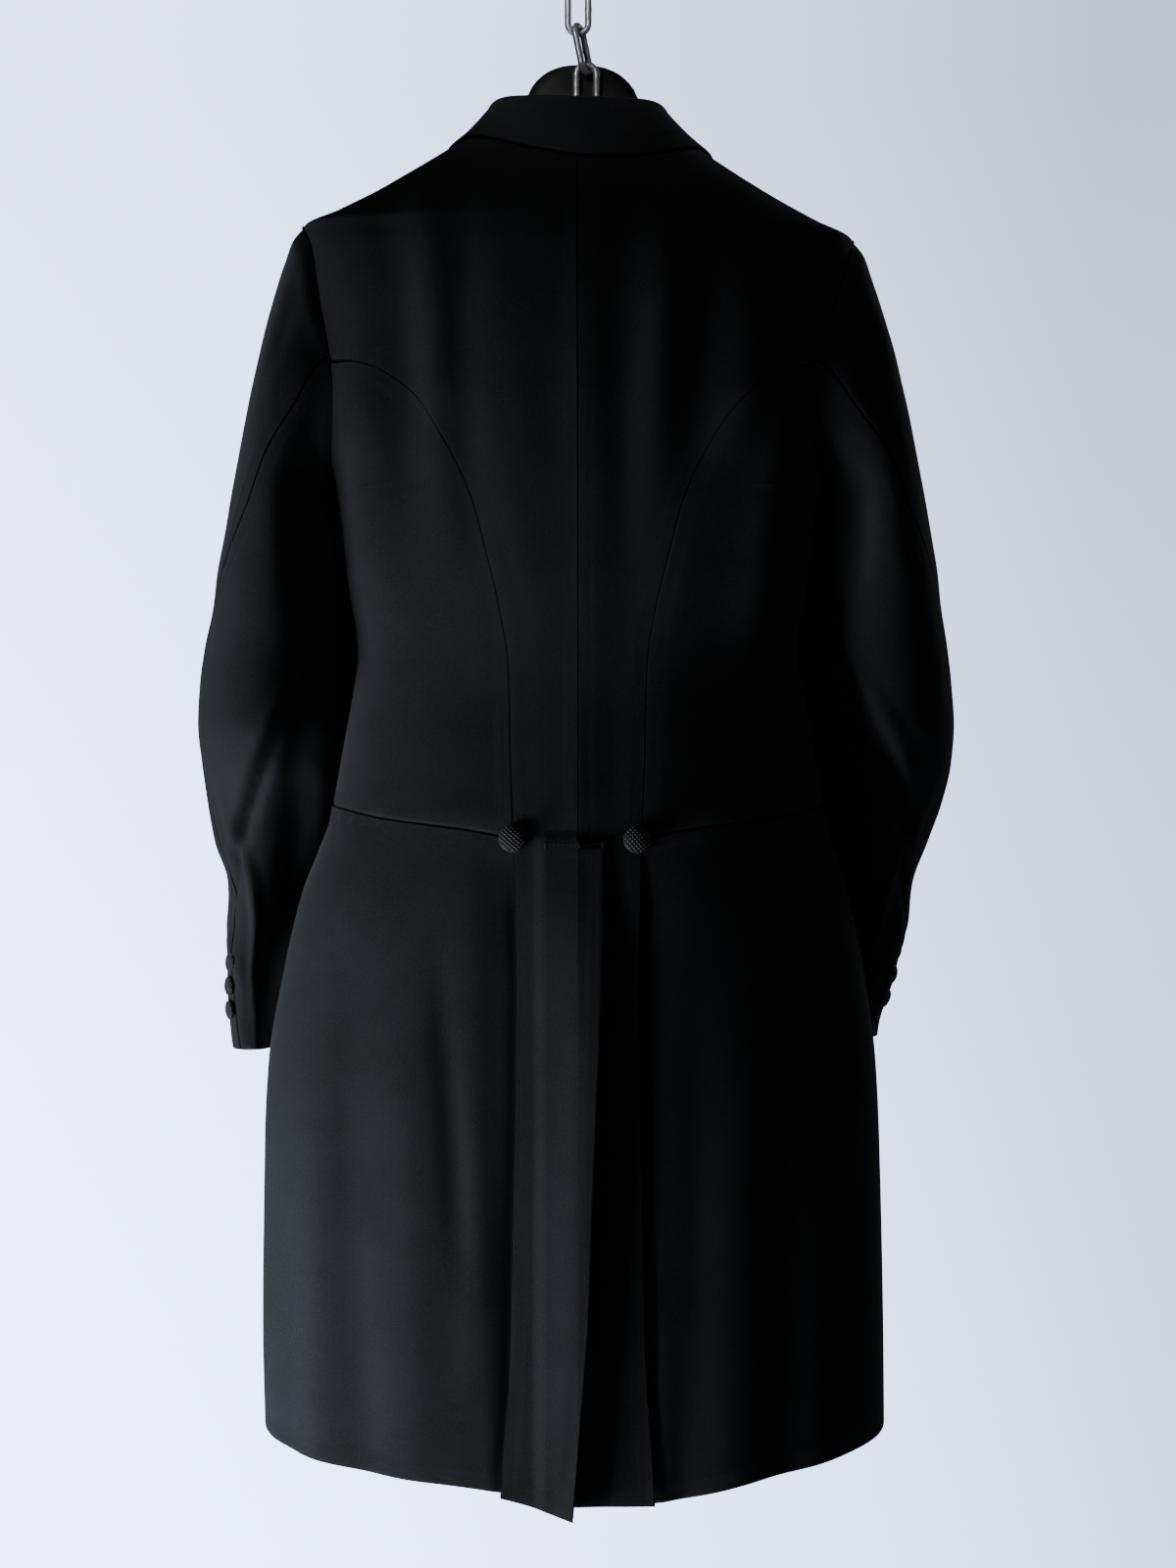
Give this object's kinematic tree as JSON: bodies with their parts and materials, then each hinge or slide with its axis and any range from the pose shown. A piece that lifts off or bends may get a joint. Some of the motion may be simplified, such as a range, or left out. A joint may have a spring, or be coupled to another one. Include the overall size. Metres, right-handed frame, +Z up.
{
  "type": "white tie tailcoat on a shoulder hanger",
  "caption": "Long black formal tailcoat hanging on a wide shoulder hanger: fitted back with curved seams, vent, cut-away front, peaked lapels and covered buttons.",
  "frame": {"origin": "inner top of the first chain link, where the chain is hung", "axes": "+Z up, +Y towards the wearer's front, +X towards the wearer's right hand; the back of the coat faces -Y"},
  "size_m": [0.5669, 0.233, 1.148],
  "materials": {
    "wool": "fine black wool, matt",
    "silk": "black silk satin facing",
    "covered_button": "button covered in patterned black silk",
    "moulded_plastic": "black moulded plastic, satin",
    "zinc_plated_steel": "zinc-plated steel"
  },
  "bodies": {
    "root": {"back_left": "wool", "back_right": "wool", "side_left": "wool", "side_right": "wool", "forepart_left": "wool", "forepart_right": "wool", "tail_left": "wool", "tail_right": "wool", "collar": "wool", "sleeve_top_left": "wool", "sleeve_top_right": "wool", "sleeve_under_left": "wool", "sleeve_under_right": "wool", "lapel_left": "silk", "lapel_right": "silk", "back_button_left": "covered_button", "back_button_right": "covered_button", "cuff_button_left_1": "covered_button", "cuff_button_left_2": "covered_button", "cuff_button_left_3": "covered_button", "cuff_button_right_1": "covered_button", "cuff_button_right_2": "covered_button", "cuff_button_right_3": "covered_button", "front_button_left_1": "covered_button", "front_button_left_2": "covered_button", "front_button_left_3": "covered_button", "front_button_right_1": "covered_button", "front_button_right_2": "covered_button", "front_button_right_3": "covered_button", "hanger": "moulded_plastic", "hanger_eye": "zinc_plated_steel", "chain_link_0": "zinc_plated_steel", "chain_link_1": "zinc_plated_steel", "chain_link_2": "zinc_plated_steel", "chain_link_3": "zinc_plated_steel"}
  },
  "joints": []
}
